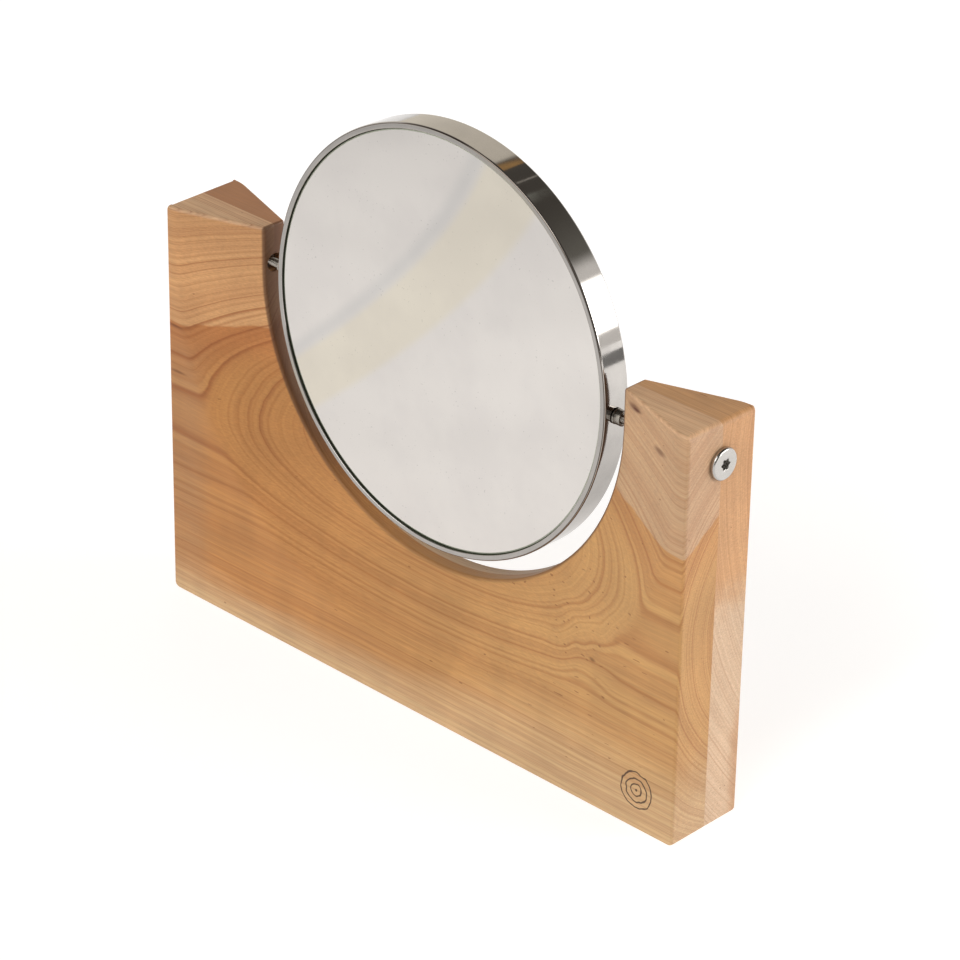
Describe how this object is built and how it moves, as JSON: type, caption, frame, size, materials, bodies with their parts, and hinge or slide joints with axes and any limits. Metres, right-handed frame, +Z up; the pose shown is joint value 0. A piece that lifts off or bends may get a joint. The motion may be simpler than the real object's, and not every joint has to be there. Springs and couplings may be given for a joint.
{
  "type": "tabletop tilting mirror",
  "caption": "Round mirror in a polished metal band, tilting between the two horns of a thick wooden block with a U-shaped opening and dished faces.",
  "frame": {"origin": "middle of the block's underside", "axes": "+X from the left horn to the right horn as seen from the front, +Y from the front face to the back face, +Z up"},
  "size_m": [0.3228, 0.042, 0.2811],
  "materials": {
    "wood": "oiled light hardwood, straight grain along the length, two boards glued face to face",
    "polished_steel": "polished",
    "zinc_steel": "zinc plated, satin",
    "spring_steel": "blued spring steel, satin",
    "mirror": "silvered glass",
    "nylon": "moulded nylon",
    "foam": "closed-cell foam"
  },
  "bodies": {
    "stand": {"front_board": "wood", "back_board": "wood", "right_sleeve_bolt": "polished_steel", "right_pivot_stud": "zinc_steel", "right_shoulder_collar": "zinc_steel", "right_outer_washer": "zinc_steel", "right_friction_washer": "nylon", "right_spring_washer": "spring_steel", "right_lock_nut": "zinc_steel", "left_sleeve_bolt": "polished_steel", "left_pivot_stud": "zinc_steel", "left_shoulder_collar": "zinc_steel", "left_outer_washer": "zinc_steel", "left_friction_washer": "nylon", "left_spring_washer": "spring_steel", "left_lock_nut": "zinc_steel"},
    "mirror_head": {"mirror_band": "polished_steel", "rear_bezel": "polished_steel", "front_glass": "mirror", "rear_glass": "mirror", "spacer_ring": "nylon", "front_backing_pad": "foam", "rear_backing_pad": "foam"}
  },
  "joints": [
    {"name": "mirror_tilt", "type": "hinge", "parent": "stand", "child": "mirror_head", "pos_m": [0, 0, 0.181], "axis": [1, 0, 0], "continuous": true}
  ]
}
